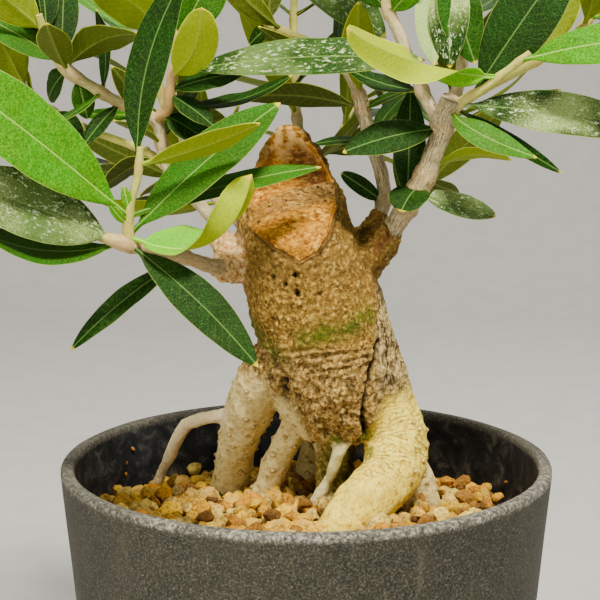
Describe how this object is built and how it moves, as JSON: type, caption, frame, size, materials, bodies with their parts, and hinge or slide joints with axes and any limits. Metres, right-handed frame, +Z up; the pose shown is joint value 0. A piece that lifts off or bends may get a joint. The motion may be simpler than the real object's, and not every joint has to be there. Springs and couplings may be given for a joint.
{
  "type": "olive bonsai in a round rubber pot",
  "caption": "Potted olive bonsai: a thick sawn stump on spreading roots, with leafy shoots round its top, in a tapered round rubber nursery pot filled with gravel.",
  "frame": {"origin": "centre of the pot's flat base, on the surface that the pot stands on", "axes": "+Z up; +X to the right of the pictured side; +Y away from the pictured side"},
  "size_m": [0.2108, 0.1847, 0.3306],
  "materials": {
    "pot_rubber": "matt speckled dark grey rubber with a worn paler rim",
    "gravel": "dry rough gravel, orange, tan and cream",
    "bark": "rough tan bark with a sawn golden brown top and pale smooth roots",
    "foliage": "leathery leaves, glossy dark green above and pale olive below, on thin pale bark twigs"
  },
  "bodies": {
    "root": {"pot": "pot_rubber", "soil": "gravel", "stump_with_roots": "bark", "left_front_shoot": "foliage", "left_back_shoot": "foliage", "right_front_shoot": "foliage", "right_back_shoot": "foliage", "back_left_shoot": "foliage", "back_middle_shoot": "foliage", "back_right_shoot": "foliage"}
  },
  "joints": []
}
